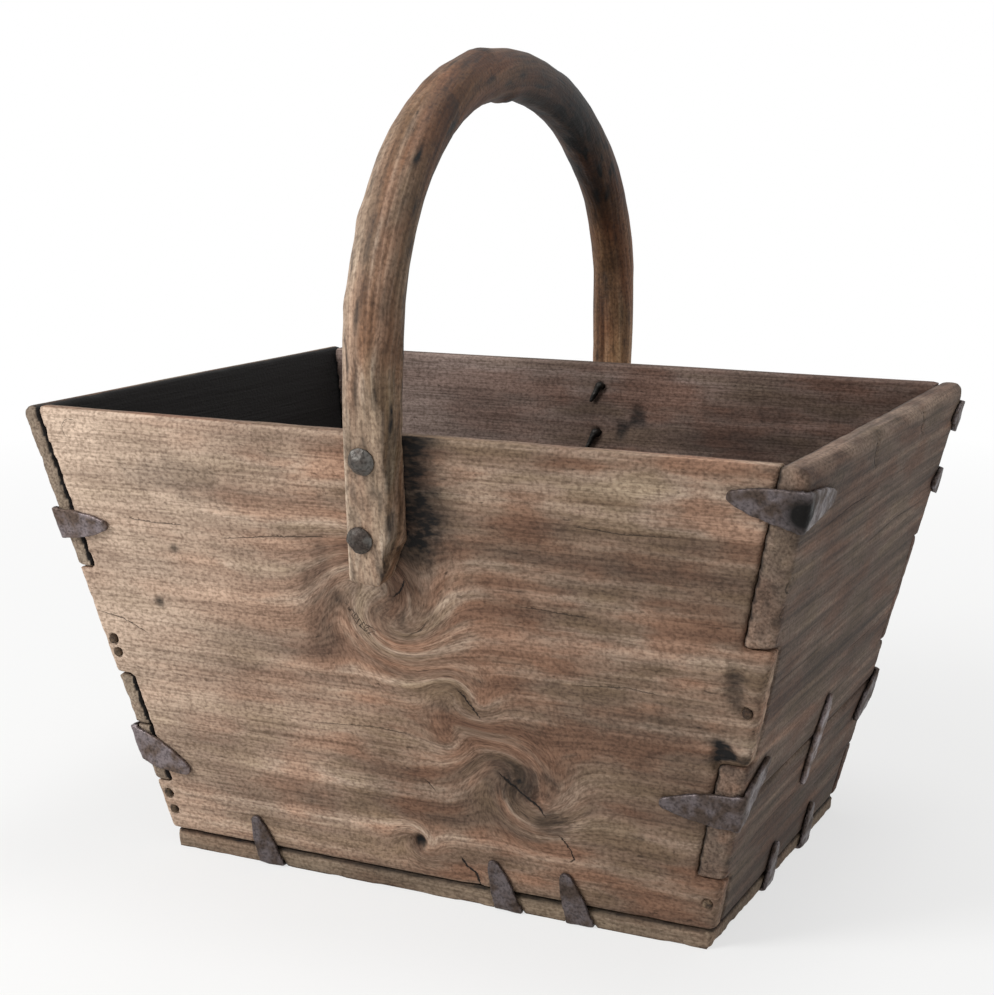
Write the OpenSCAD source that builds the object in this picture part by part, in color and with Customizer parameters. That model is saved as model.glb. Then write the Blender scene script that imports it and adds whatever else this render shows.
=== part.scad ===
// Plank garden basket: four leaning walls finger-jointed at the corners and bound with forged
// iron staples, on a plank base, under a handle made from one bent branch.
// Millimetres. X runs along the basket, Z is up, and the origin is the centre of the underside.

/* [Box] */
// Length over the rim
rim_length = 450; // [430:1:480]
// Width over the rim
rim_width = 332; // [315:1:350]
// Length over the underside
base_length = 330; // [310:1:350]
// Width over the underside
base_width = 228; // [210:1:245]
// Height from the underside to the rim
box_height = 265; // [250:1:290]

/* [Planks] */
// Thickness of the front and back boards
side_thickness = 12; // [11:0.5:14]
// Thickness of the planks of the left end
left_end_thickness = 11; // [10:0.5:16]
// Thickness of the planks of the right end
right_end_thickness = 15; // [10:0.5:18]
// Thickness of the base board
base_thickness = 11; // [10:0.5:14]
// Height of the seam between the two planks of the left end
left_seam_height = 77; // [60:1:95]
// Height of the seam between the two planks of the right end
right_seam_height = 84; // [60:1:95]
// Clearance between pieces that meet
fit_gap = 0.3; // [0.2:0.05:0.5]

/* [Corner fingers] */
// Height of the lowest finger, which belongs to the front and back boards
lowest_finger = 31; // [27:1:36]
// Height of the next finger up, which belongs to the ends
lower_end_finger = 66; // [58:1:72]
// Height of the top finger, which belongs to the ends
top_end_finger = 93; // [80:1:100]

/* [Worn edges] */
// Radius of the rims of the front and back boards
side_rim_radius = 3; // [1:0.5:4.5]
// Radius of the outer edge of the end rims
end_rim_radius = 6; // [2:0.5:7]
// Radius of the leaning corner edges
corner_radius = 3; // [1:0.5:4]
// Radius of the base board's corners, seen from above
base_corner_radius = 9; // [3:0.5:14]

/* [Handle] */
// Height of the branch's centreline above the rim, at the crown
handle_rise = 180; // [150:1:220]
// How far the crown sits towards the front
crown_shift = 8.5; // [-10:0.5:15]
// Height above the rim where the front leg starts to curve
front_shoulder = 27; // [20:1:60]
// Height above the rim where the back leg starts to curve
back_shoulder = 44; // [20:1:60]
// Squareness of the front half of the arch, where 2 is an ellipse
front_squareness = 2.15; // [2:0.05:2.4]
// Squareness of the back half of the arch
back_squareness = 2.02; // [2:0.02:2.4]
// Diameter of the branch at its front foot
front_branch = 31; // [27:0.5:34]
// Diameter of the branch at its back foot
back_branch = 25; // [23:0.5:30]
// How far the front leg's centreline stands out from the board
front_leg_offset = 5.7; // [3:0.1:9]
// How far the back leg's centreline stands out from the board
back_leg_offset = 12.2; // [8:0.1:14]
// Length of each foot below the rim
foot_length = 77; // [70:1:90]
// Thickness of the front foot, between its two shaved faces
front_foot_thickness = 16; // [13:0.5:18]
// Thickness of the back foot
back_foot_thickness = 20; // [17:0.5:22]
// Where the crown crosses the basket, along X
handle_x = -4.8; // [-20:0.1:20]
// Turn of the handle seen from above
handle_turn = 2.3; // [-4:0.1:4]
// Sideways lean of the front foot, in degrees
foot_lean = 3.7; // [0:0.1:6]
// Height of the chamfer at the foot's lower corner
foot_chamfer = 22; // [10:1:30]

/* [Handle nails] */
// Diameter of a nail's shank
nail_shank = 5; // [4:0.25:6]
// Diameter of a nail's head
nail_head = 15; // [12:0.5:17]
// Height of a nail's head
nail_head_height = 5; // [3:0.5:7]
// Front upper nail, below the rim
front_upper_nail_drop = 9; // [8:0.5:18]
// Front upper nail, along X
front_upper_nail_x = 0; // [-5:0.5:6]
// Front lower nail, below the rim
front_lower_nail_drop = 51; // [40:0.5:58]
// Front lower nail, along X
front_lower_nail_x = -6; // [-8:0.5:3]
// Back upper nail, below the rim
back_upper_nail_drop = 17; // [8:0.5:22]
// Back lower nail, below the rim
back_lower_nail_drop = 47; // [40:0.5:58]
// Back nails, along X
back_nail_x = -9; // [-14:0.5:-4]
// Length of the point that is bent over inside the basket
clinch_length = 12; // [8:0.5:16]

/* [Staples] */
// Thickness of the forged iron
iron = 2.4; // [1.5:0.1:3]
// Depth of a prong in a wall
prong_depth = 8.5; // [6:0.25:9]
// Depth of a prong in the base board
base_prong_depth = 6; // [4:0.25:6.5]
// Width of a staple's tip
tip_width = 7; // [5:0.5:9]
// Front left upper: drop below the rim, width, then reach and rise on the board and on the end
front_left_upper = [67, 17, 30, 1, 24, 0];
// Front left lower: height above the underside, then as before
front_left_lower = [66, 20, 30, -13, 26, 4];
// Front right upper: drop below the rim, then as before
front_right_upper = [21, 19, 33, 5, 44, 0];
// Front right lower: height above the underside, then as before
front_right_lower = [83, 19, 38, 0, 26, 20];
// Back right upper: drop below the rim, then as before
back_right_upper = [20, 18, 30, 0, 11, 0];
// Back right middle: drop below the rim, then as before
back_right_middle = [59, 15, 28, 3, 10, 0];
// Back right lower: height above the underside, then as before
back_right_lower = [80, 18, 30, -8, 26, -14];
// Back left upper: drop below the rim, then as before
back_left_upper = [40, 18, 32, 0, 26, 2];
// Back left lower: height above the underside, then as before
back_left_lower = [68, 18, 32, -6, 24, 4];
// Base staple: width, reach up the wall, reach under the base
base_staple = [15, 26, 22];
// Places of the base staples along the front board
front_base_places = [-99, 51, 93];
// Places of the base staples along the back board
back_base_places = [-90, 4, 96];
// Places of the base staples along the right end
right_base_places = [-22, 47];
// Places of the base staples along the left end
left_base_places = [-48, 40];
// Lean of a base staple, in degrees
base_staple_lean = 14; // [-20:1:20]
// Seam staple: length, width, lean in degrees
seam_staple = [54, 13, 14];
// Place of the seam staples along the ends
seam_staple_place = 3; // [-40:1:40]

/* [Corner pegs] */
// Diameter of a peg
peg_diameter = 5; // [3:0.25:6]
// How far a peg's axis lies in from the corner edge
peg_inset = 6.5; // [5.5:0.25:7]
// Depth of a peg beyond the board that it goes through
peg_depth = 14; // [8:0.5:18]
// Pegs in the front left corner: heights above the finger shoulder under each
front_left_peg_heights = [[1, 13], [1, 21], [0, 13], [0, 23]];
// Pegs in the front right corner
front_right_peg_heights = [[1, 30], [0, 16]];
// Pegs in each back corner
back_peg_heights = [[1, 32], [0, 16]];

/* [Hidden] */
$fn = 48;

front = 0;
right = 90;
back = 180;
left = 270;
wide_cut = 700;
beyond = 40;

wall_bottom = base_thickness + fit_gap;
low_shoulder = base_thickness + lowest_finger;
middle_shoulder = low_shoulder + lower_end_finger;
high_shoulder = box_height - top_end_finger;
peg_floors = [base_thickness, middle_shoulder];
side_lean = atan((rim_width - base_width) / 2 / box_height);
end_lean = atan((rim_length - base_length) / 2 / box_height);
foot_bottom = box_height - foot_length;
leg_bend = 18;
ring_sides = 20;
arch_steps = 26;
leaf_steps = 7;
tip_steps = 6;
fold_lap = 0.8;
wear_bite = 0.02;

// Facts about a wall, from the turn that brings it round from the front
function is_side(turn) = turn == front || turn == back;
function thickness(turn) =
    is_side(turn) ? side_thickness : turn == left ? left_end_thickness : right_end_thickness;
function lean(turn) = is_side(turn) ? side_lean : end_lean;
function base_half(turn) = is_side(turn) ? base_width / 2 : base_length / 2;
function outer(turn, z) = base_half(turn) + z * tan(lean(turn));
function inner(turn, z) = outer(turn, z) - thickness(turn) / cos(lean(turn));
function up_wall(turn, z) = z / cos(lean(turn));

function unit(v) = v / norm(v);
function mix(a, b, s) = a * (1 - s) + b * s;

// Arc that rounds the corner b of the path a, b, c
function rounded_corner(a, b, c, r, steps = 6) =
    let (
        u = unit(a - b),
        w = unit(c - b),
        half = acos(u * w) / 2,
        middle = b + unit(u + w) * r / sin(half),
        from = b + u * r / tan(half) - middle,
        to = b + w * r / tan(half) - middle
    )
    [for (i = [0 : steps]) middle + unit(mix(from, to, i / steps)) * r];

// Section of a wall: distance out from the centre against height, with a worn rim
function wall_section(turn, z0, z1, outer_r, inner_r) =
    let (
        a = [inner(turn, z0), z0],
        b = [outer(turn, z0), z0],
        c = [outer(turn, z1), z1],
        d = [inner(turn, z1), z1]
    )
    concat([a, b], rounded_corner(b, c, d, outer_r), rounded_corner(c, d, a, inner_r));

// The same section with square edges and a given skin on both faces
function plain_section(turn, z0, z1, inside = 0, outside = 0) = [
    [inner(turn, z0) - inside, z0],
    [outer(turn, z0) + outside, z0],
    [outer(turn, z1) + outside, z1],
    [inner(turn, z1) - inside, z1]
];

// Runs a section, drawn as distance out against height, along its wall
module along_wall(turn, length = wide_cut) {
    rotate([90, 0, turn - 90])
        linear_extrude(height = length, center = true)
            children();
}

// Puts children on a wall's outer face: x along it, y up its slope, z out of it
module on_wall(turn) {
    rotate([0, 0, turn])
        translate([0, -base_half(turn), 0])
            rotate([90 + lean(turn), 0, 0])
                children();
}

// All that lies between the outer faces of a wall and the one opposite
module between_walls(turn) {
    low = -beyond;
    high = box_height + beyond;
    along_wall(turn)
        polygon([
            [-outer(turn, low), low],
            [outer(turn, low), low],
            [outer(turn, high), high],
            [-outer(turn, high), high]
        ]);
}

// The room that a wall's fingers take out of the walls beside it
module finger_room(turn, z0, z1) {
    along_wall(turn)
        polygon(plain_section(turn, z0, z1, fit_gap, beyond));
}

// What wear has taken off the leaning corner edge between two walls
module corner_wear(side, end) {
    along_x = end == right ? 1 : -1;
    along_y = side == back ? 1 : -1;
    start = [
        along_x * (outer(end, -beyond) - corner_radius / cos(end_lean)),
        along_y * (outer(side, -beyond) - corner_radius / cos(side_lean)),
        -beyond
    ];
    climb = [along_x * tan(end_lean), along_y * tan(side_lean), 1];
    run = (box_height + 2 * beyond) * norm(climb);
    difference() {
        intersection() {
            on_wall(side)
                translate([-wide_cut / 2, -beyond, -corner_radius])
                    cube([wide_cut, wide_cut, beyond]);
            on_wall(end)
                translate([-wide_cut / 2, -beyond, -corner_radius])
                    cube([wide_cut, wide_cut, beyond]);
        }
        translate(start)
            rotate([0, acos(1 / norm(climb)), atan2(climb.y, climb.x)])
                cylinder(h = run, r = corner_radius + wear_bite);
    }
}

// Front or back board: one wide plank, with the ends' fingers and the staples' slots cut out
module side_board(turn) {
    difference() {
        intersection() {
            along_wall(turn)
                polygon(wall_section(turn, wall_bottom, box_height, side_rim_radius, side_rim_radius));
            between_walls(right);
        }
        for (end = [left, right]) {
            finger_room(end, high_shoulder - fit_gap / 2, box_height + beyond);
            finger_room(end, low_shoulder - fit_gap / 2, middle_shoulder + fit_gap / 2);
            corner_wear(turn, end);
        }
        wall_slots(turn);
        peg_holes(turn);
        nail_holes(turn);
    }
}

// End plank between two heights, with the front and back boards' fingers cut out
module end_plank(turn, z0, z1, rim_r) {
    difference() {
        intersection() {
            along_wall(turn)
                polygon(
                    rim_r > 0
                        ? wall_section(turn, z0, z1, rim_r, rim_r / 2)
                        : plain_section(turn, z0, z1)
                );
            between_walls(front);
        }
        for (side = [front, back]) {
            finger_room(side, middle_shoulder - fit_gap / 2, high_shoulder + fit_gap / 2);
            finger_room(side, -beyond, low_shoulder + fit_gap / 2);
            corner_wear(side, turn);
            peg_holes(side);
        }
        wall_slots(turn);
    }
}

module front_board() {
    color("#8a6f57") side_board(front);
}

module back_board() {
    color("#6f5648") side_board(back);
}

module left_end_upper_plank() {
    color("#4a4038")
        end_plank(left, left_seam_height + fit_gap / 2, box_height, end_rim_radius);
}

module left_end_lower_plank() {
    color("#52463c")
        end_plank(left, wall_bottom, left_seam_height - fit_gap / 2, 0);
}

module right_end_upper_plank() {
    color("#6e6054")
        end_plank(right, right_seam_height + fit_gap / 2, box_height, end_rim_radius);
}

module right_end_lower_plank() {
    color("#665a4f")
        end_plank(right, wall_bottom, right_seam_height - fit_gap / 2, 0);
}

// Base board: bevelled to run on from the walls, with its staples let in flush underneath
module base_board() {
    length = 2 * outer(right, base_thickness);
    width = 2 * outer(front, base_thickness);
    corners = [
        [length, -width] / 2, [length, width] / 2, [-length, width] / 2, [-length, -width] / 2
    ];
    outline = [
        for (i = [0 : 3])
            each rounded_corner(corners[(i + 3) % 4], corners[i], corners[(i + 1) % 4], base_corner_radius)
    ];
    color("#7a6a55")
        difference() {
            intersection() {
                linear_extrude(height = base_thickness)
                    polygon(outline);
                between_walls(front);
                between_walls(right);
            }
            for (turn = [front, back, right, left]) {
                for (place = base_places(turn)) {
                    base_staple_bed(turn, place);
                }
            }
        }
}

// Centreline of the branch. The legs follow the boards below the rim and rise straight above it.
function leg_slope(z) =
    let (over = box_height + leg_bend - z)
    over <= 0 ? 0 : over >= 2 * leg_bend ? over - leg_bend : over * over / (4 * leg_bend);
function leg_offset(turn) = turn == front ? front_leg_offset : back_leg_offset;
function shoulder(turn) = box_height + (turn == front ? front_shoulder : back_shoulder);
function squareness(turn) = turn == front ? front_squareness : back_squareness;
function leg_reach(turn) = rim_width / 2 + leg_offset(turn);
function toward(turn) = turn == front ? -1 : 1;
function handle_line_x(y) = handle_x - tan(handle_turn) * y;
function leg_point(turn, z) =
    let (y = toward(turn) * (leg_reach(turn) - leg_slope(z) * tan(side_lean)))
    [handle_line_x(y) - (turn == front ? leg_slope(z) * tan(foot_lean) : 0), y, z];
function arch_point(turn, angle) =
    let (
        power = 2 / squareness(turn),
        out = (leg_reach(turn) + toward(turn) * crown_shift) * pow(cos(angle), power),
        climb = (box_height + handle_rise - shoulder(turn)) * pow(sin(angle), power),
        y = -crown_shift + toward(turn) * out
    )
    [handle_line_x(y), y, shoulder(turn) + climb];
function leg_heights(turn) =
    [for (s = [0, 0.4, 0.75, 1]) mix(foot_bottom, box_height - leg_bend, s)];
function leg_line(turn) = concat(
    [for (z = leg_heights(turn)) leg_point(turn, z)],
    [for (s = [0.25, 0.5, 0.75, 1]) leg_point(turn, box_height - leg_bend + 2 * leg_bend * s)]
);
function half_line(turn) = concat(
    leg_line(turn),
    [for (i = [1 : arch_steps / 2 - 1]) arch_point(turn, 180 * i / arch_steps)]
);
function reversed(list) = [for (i = [len(list) - 1 : -1 : 0]) list[i]];
branch_line = concat(half_line(front), [arch_point(front, 90)], reversed(half_line(back)));

function branch_radius(i) = mix(front_branch, back_branch, i / (len(branch_line) - 1)) / 2;
function branch_way(i) =
    unit(branch_line[min(i + 1, len(branch_line) - 1)] - branch_line[max(i - 1, 0)]);
function branch_ring(i) =
    let (
        way = branch_way(i),
        out = unit(cross([1, 0, 0], way)),
        side = cross(way, out)
    )
    [
        for (k = [0 : ring_sides - 1])
            let (a = 360 * k / ring_sides)
            branch_line[i] + branch_radius(i) * (cos(a) * side + sin(a) * out)
    ];

module branch() {
    rings = len(branch_line);
    points = [for (i = [0 : rings - 1]) each branch_ring(i)];
    skin = [
        for (i = [0 : rings - 2])
            for (k = [0 : ring_sides - 1])
                let (
                    a = i * ring_sides + k,
                    b = i * ring_sides + (k + 1) % ring_sides,
                    c = b + ring_sides,
                    d = a + ring_sides
                )
                each [[a, b, c], [a, c, d]]
    ];
    first_end = [for (k = [ring_sides - 1 : -1 : 0]) k];
    last_end = [for (k = [0 : ring_sides - 1]) (rings - 1) * ring_sides + k];
    polyhedron(points = points, faces = concat(skin, [first_end], [last_end]));
}

// What the drawknife took off a foot: the face on the board, the outer face and a lower corner
module foot_shavings(turn, foot_thickness) {
    low = foot_bottom - beyond;
    rim = outer(turn, box_height);
    reach = leg_reach(turn);
    radius = (turn == front ? front_branch : back_branch) / 2;
    inner_fade = box_height + 30;
    outer_fade = box_height + 57;
    along_wall(turn)
        polygon([
            [0, low],
            [outer(turn, low) + fit_gap, low],
            [rim + fit_gap, box_height],
            [min(rim, reach - radius) - 1, inner_fade],
            [0, inner_fade]
        ]);
    along_wall(turn)
        polygon([
            [outer(turn, low) + foot_thickness, low],
            [reach + beyond, low],
            [reach + beyond, outer_fade],
            [reach + radius + 0.5, outer_fade],
            [rim + foot_thickness, box_height]
        ]);
    foot_x = (turn == front ? 1 : -1) * leg_point(turn, foot_bottom).x;
    on_wall(turn)
        translate([foot_x + radius / 3, up_wall(turn, foot_bottom), -beyond])
            linear_extrude(height = 2 * beyond)
                polygon([
                    [0, -beyond / 2],
                    [0, 0],
                    [radius * 2 / 3, foot_chamfer],
                    [radius * 2, foot_chamfer],
                    [radius * 2, -beyond / 2]
                ]);
}

module handle() {
    color("#9a7648")
        difference() {
            branch();
            foot_shavings(front, front_foot_thickness);
            foot_shavings(back, back_foot_thickness);
            nail_holes(front);
            nail_holes(back);
        }
}

// Handle nails: place along the wall, height, and thickness of the foot under the head
function front_upper_nail() = [front, front_upper_nail_x, box_height - front_upper_nail_drop];
function front_lower_nail() = [front, front_lower_nail_x, box_height - front_lower_nail_drop];
function back_upper_nail() = [back, back_nail_x, box_height - back_upper_nail_drop];
function back_lower_nail() = [back, back_nail_x, box_height - back_lower_nail_drop];
function handle_nails() =
    [front_upper_nail(), front_lower_nail(), back_upper_nail(), back_lower_nail()];
function foot_under(nail) = nail[0] == front ? front_foot_thickness : back_foot_thickness;

module at_nail(nail) {
    on_wall(nail[0])
        translate([nail[0] == front ? nail[1] : -nail[1], up_wall(nail[0], nail[2]), 0])
            children();
}

module nail_holes(turn) {
    for (nail = handle_nails()) {
        if (nail[0] == turn) {
            at_nail(nail)
                translate([0, 0, -beyond])
                    cylinder(h = 2 * beyond, d = nail_shank + fit_gap);
        }
    }
}

// One forged nail: hammered head, round shank, and a point bent over on the inside
module handle_nail(nail) {
    seat = foot_under(nail) * cos(side_lean) + fit_gap;
    inside = side_thickness + fit_gap + nail_shank / 2;
    head = nail_head / 2;
    color("#3d3d40")
        at_nail(nail) {
            translate([0, 0, -inside])
                cylinder(h = inside + seat, d = nail_shank);
            translate([0, 0, seat])
                rotate_extrude()
                    polygon([
                        [0, 0],
                        [head, 0],
                        [head * 0.95, nail_head_height * 0.4],
                        [head * 0.6, nail_head_height * 0.85],
                        [0, nail_head_height]
                    ]);
            translate([0, 0, -inside])
                rotate([90, 0, 25])
                    cylinder(h = clinch_length, d1 = nail_shank, d2 = nail_shank / 2);
            translate([0, 0, -inside])
                sphere(d = nail_shank);
        }
}

module front_upper_handle_nail() {
    handle_nail(front_upper_nail());
}

module front_lower_handle_nail() {
    handle_nail(front_lower_nail());
}

module back_upper_handle_nail() {
    handle_nail(back_upper_nail());
}

module back_lower_handle_nail() {
    handle_nail(back_lower_nail());
}

// Outline of a hammered leaf, from just past its bend to its round tip
function leaf_edge(bend, tip, bend_edge, w0, w1, way) =
    let (across = way * [-unit(tip - bend).y, unit(tip - bend).x])
    [
        for (i = [0 : leaf_steps])
            let (
                s = i / leaf_steps,
                half = mix(w1, w0, pow(cos(90 * s), 0.8)) / 2,
                aim = unit(mix(way * bend_edge, across, min(1, 2 * s)))
            )
            mix(bend, tip, s) + half * aim
    ];
function leaf_outline(bend, tip, bend_edge, w0, w1) =
    let (
        along = unit(tip - bend),
        across = [-along.y, along.x],
        turned = across * bend_edge > 0 ? bend_edge : -bend_edge,
        lap = bend - fold_lap * [turned.y, -turned.x]
    )
    concat(
        [lap - turned * w0 / 2],
        leaf_edge(bend, tip, turned, w0, w1, -1),
        [
            for (i = [1 : tip_steps - 1])
                let (a = 180 * i / tip_steps)
                tip + w1 / 2 * (sin(a) * along - cos(a) * across)
        ],
        reversed(leaf_edge(bend, tip, turned, w0, w1, 1)),
        [lap + turned * w0 / 2]
    );

// A corner staple is [side, end, height of its bend, width, reach and rise on each wall]
function from_rim(side, end, row) =
    [side, end, box_height - row[0], row[1], [row[2], row[3]], [row[4], row[5]]];
function from_base(side, end, row) =
    [side, end, row[0], row[1], [row[2], row[3]], [row[4], row[5]]];
function corner_staples() = [
    from_rim(front, left, front_left_upper),
    from_base(front, left, front_left_lower),
    from_rim(front, right, front_right_upper),
    from_base(front, right, front_right_lower),
    from_rim(back, right, back_right_upper),
    from_rim(back, right, back_right_middle),
    from_base(back, right, back_right_lower),
    from_rim(back, left, back_left_upper),
    from_base(back, left, back_left_lower)
];

// Which way along a wall's own x the corner with the other wall lies
function corner_way(turn, other) = (other - turn + 360) % 360 == 90 ? 1 : -1;
function corner_on(turn, other, z) =
    [corner_way(turn, other) * outer(other, z), up_wall(turn, z)];

// The leaf of a corner staple that lies on one wall
function corner_leaf_tip(turn, other, staple) =
    let (leaf = turn == staple[0] ? staple[4] : staple[5])
    corner_on(turn, other, staple[2]) + [-corner_way(turn, other) * leaf[0], leaf[1]];

module corner_leaf(turn, other, staple) {
    low = corner_on(turn, other, staple[2] - staple[3] / 2);
    high = corner_on(turn, other, staple[2] + staple[3] / 2);
    tip = corner_leaf_tip(turn, other, staple);
    on_wall(turn) {
        translate([0, 0, fit_gap])
            linear_extrude(height = iron)
                polygon(leaf_outline((low + high) / 2, tip, unit(high - low), norm(high - low), tip_width));
        wall_prong(tip, tip - (low + high) / 2, prong_depth, 0);
    }
}

// A prong, or with room its slot, which goes into the wood at a leaf's tip
module wall_prong(tip, along, depth, room) {
    width = tip_width * 0.6 + 2 * room;
    thick = iron + 2 * room;
    translate([tip.x, tip.y, 0])
        rotate([0, 0, atan2(along.y, along.x)])
            translate([-thick / 2, -width / 2, -depth - room])
                cube([thick, width, depth + room + fit_gap + iron / 2]);
}

// The rounded fold of a corner staple over the corner edge
module corner_fold(staple) {
    side = staple[0];
    end = staple[1];
    along_x = end == right ? 1 : -1;
    along_y = side == back ? 1 : -1;
    low_z = staple[2] - staple[3] / 2;
    low = [along_x * outer(end, low_z), along_y * outer(side, low_z), low_z];
    climb = [along_x * tan(end_lean), along_y * tan(side_lean), 1];
    difference() {
        translate(low)
            rotate([0, acos(1 / norm(climb)), atan2(climb.y, climb.x)])
                translate([0, 0, -fold_lap / 2])
                    cylinder(h = staple[3] * norm(climb) + fold_lap, r = iron + fit_gap);
        intersection() {
            on_wall(side)
                translate([-wide_cut / 2, 0, fit_gap - beyond])
                    cube([wide_cut, wide_cut, beyond]);
            on_wall(end)
                translate([-wide_cut / 2, 0, fit_gap - beyond])
                    cube([wide_cut, wide_cut, beyond]);
        }
    }
}

module corner_staple(staple) {
    color("#4a4248") {
        corner_leaf(staple[0], staple[1], staple);
        corner_leaf(staple[1], staple[0], staple);
        corner_fold(staple);
    }
}

module front_left_upper_staple() {
    corner_staple(from_rim(front, left, front_left_upper));
}

module front_left_lower_staple() {
    corner_staple(from_base(front, left, front_left_lower));
}

module front_right_upper_staple() {
    corner_staple(from_rim(front, right, front_right_upper));
}

module front_right_lower_staple() {
    corner_staple(from_base(front, right, front_right_lower));
}

module back_right_upper_staple() {
    corner_staple(from_rim(back, right, back_right_upper));
}

module back_right_middle_staple() {
    corner_staple(from_rim(back, right, back_right_middle));
}

module back_right_lower_staple() {
    corner_staple(from_base(back, right, back_right_lower));
}

module back_left_upper_staple() {
    corner_staple(from_rim(back, left, back_left_upper));
}

module back_left_lower_staple() {
    corner_staple(from_base(back, left, back_left_lower));
}

// A seam staple lies flat on an end, across the seam between its two planks
function seam_height(turn) = turn == left ? left_seam_height : right_seam_height;
function seam_staple_tip(turn, way) =
    [seam_staple_place, up_wall(turn, seam_height(turn)) - 2]
    + way * (seam_staple[0] - tip_width) / 2 * [sin(seam_staple[2]), cos(seam_staple[2])];

module end_seam_staple(turn) {
    high = seam_staple_tip(turn, 1);
    low = seam_staple_tip(turn, -1);
    centre = (high + low) / 2;
    color("#4a4248")
        on_wall(turn) {
            for (tip = [high, low]) {
                translate([0, 0, fit_gap])
                    linear_extrude(height = iron)
                        polygon(leaf_outline(
                            centre, tip, [cos(seam_staple[2]), -sin(seam_staple[2])],
                            seam_staple[1], tip_width
                        ));
                wall_prong(tip, tip - centre, prong_depth, 0);
            }
        }
}

module right_seam_staple() {
    end_seam_staple(right);
}

module left_seam_staple() {
    end_seam_staple(left);
}

// Base staples: one leaf up the wall, a fold round the bottom edge and one leaf let in underneath
function base_places(turn) =
    turn == front ? front_base_places
    : turn == back ? back_base_places
    : turn == right ? right_base_places
    : left_base_places;
function base_staple_tip(turn, place) =
    [place, up_wall(turn, iron + fit_gap)]
    + base_staple[1] * [-sin(base_staple_lean), cos(base_staple_lean)];
base_width_now = base_staple[0];

module base_staple_wall_leaf(turn, place) {
    bend = [place, up_wall(turn, iron + fit_gap)];
    tip = base_staple_tip(turn, place);
    on_wall(turn) {
        translate([0, 0, fit_gap])
            linear_extrude(height = iron)
                polygon(leaf_outline(bend, tip, [1, 0], base_width_now, tip_width));
        wall_prong(tip, tip - bend, prong_depth, 0);
    }
}

// Turns to look up at the underside from a wall's bottom edge: x along it, y inward
module under_base(turn, place) {
    rotate([0, 0, turn])
        translate([place, -outer(turn, iron + fit_gap), 0])
            children();
}

module base_staple_under_leaf(turn, place, room) {
    under_base(turn, place) {
        translate([0, 0, -room])
            linear_extrude(height = iron + 2 * room)
                polygon(leaf_outline(
                    [0, 0], [0, base_staple[2] - tip_width / 2], [1, 0],
                    base_width_now + 2 * room, tip_width + 2 * room
                ));
        translate([-tip_width * 0.3 - room, base_staple[2] - tip_width / 2 - iron / 2 - room, -room])
            cube([tip_width * 0.6 + 2 * room, iron + 2 * room, iron + base_prong_depth + 2 * room]);
    }
}

module base_staple_fold(turn, place) {
    length = base_width_now + fold_lap;
    difference() {
        under_base(turn, place)
            translate([-length / 2, 0, iron + fit_gap])
                rotate([0, 90, 0])
                    cylinder(h = length, r = iron + fit_gap);
        intersection() {
            on_wall(turn)
                translate([-wide_cut / 2, -beyond, fit_gap - beyond])
                    cube([wide_cut, 2 * beyond, beyond]);
            translate([0, 0, iron + wide_cut / 2])
                cube(wide_cut, center = true);
        }
    }
}

// The bed that a base staple lies in, open at the wall's face
module base_staple_bed(turn, place) {
    base_staple_under_leaf(turn, place, fit_gap);
    under_base(turn, place)
        translate([-base_width_now / 2 - 2 * fit_gap, -beyond, -beyond])
            cube([base_width_now + 4 * fit_gap, beyond + 2 * fit_gap, beyond + iron + 2 * fit_gap]);
}

module base_staples(turn) {
    color("#4a4248")
        for (place = base_places(turn)) {
            base_staple_wall_leaf(turn, place);
            base_staple_under_leaf(turn, place, 0);
            base_staple_fold(turn, place);
        }
}

module front_base_staples() {
    base_staples(front);
}

module back_base_staples() {
    base_staples(back);
}

module right_base_staples() {
    base_staples(right);
}

module left_base_staples() {
    base_staples(left);
}

// The slots of every prong that goes into a wall
module wall_slots(turn) {
    on_wall(turn) {
        for (staple = corner_staples()) {
            if (staple[0] == turn || staple[1] == turn) {
                other = staple[0] == turn ? staple[1] : staple[0];
                tip = corner_leaf_tip(turn, other, staple);
                wall_prong(tip, tip - corner_on(turn, other, staple[2]), prong_depth, fit_gap);
            }
        }
        for (place = base_places(turn)) {
            tip = base_staple_tip(turn, place);
            wall_prong(tip, tip - [place, up_wall(turn, iron + fit_gap)], prong_depth, fit_gap);
        }
        if (!is_side(turn)) {
            for (way = [-1, 1]) {
                tip = seam_staple_tip(turn, way);
                wall_prong(tip, seam_staple_tip(turn, 1) - seam_staple_tip(turn, -1), prong_depth, fit_gap);
            }
        }
    }
}

// Pegs through the fingers of the front and back boards into the ends' end grain
function peg_rows(side, end) =
    side == back ? back_peg_heights
    : end == left ? front_left_peg_heights
    : front_right_peg_heights;
function peg_place(side, end, row) =
    let (z = peg_floors[row[0]] + row[1])
    [corner_way(side, end) * (outer(end, z) - peg_inset), up_wall(side, z)];

module corner_peg(side, end, row, room) {
    place = peg_place(side, end, row);
    depth = side_thickness + peg_depth + room;
    on_wall(side)
        translate([place.x, place.y, -depth])
            cylinder(h = depth + (room > 0 ? beyond : 0.5), d = peg_diameter + 2 * room);
}

module peg_holes(side) {
    for (end = [left, right]) {
        for (row = peg_rows(side, end)) {
            corner_peg(side, end, row, fit_gap / 2);
        }
    }
}

module corner_pegs(side, end) {
    color("#8f7c5c")
        for (row = peg_rows(side, end)) {
            corner_peg(side, end, row, 0);
        }
}

module front_left_pegs() {
    corner_pegs(front, left);
}

module front_right_pegs() {
    corner_pegs(front, right);
}

module back_left_pegs() {
    corner_pegs(back, left);
}

module back_right_pegs() {
    corner_pegs(back, right);
}

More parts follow.
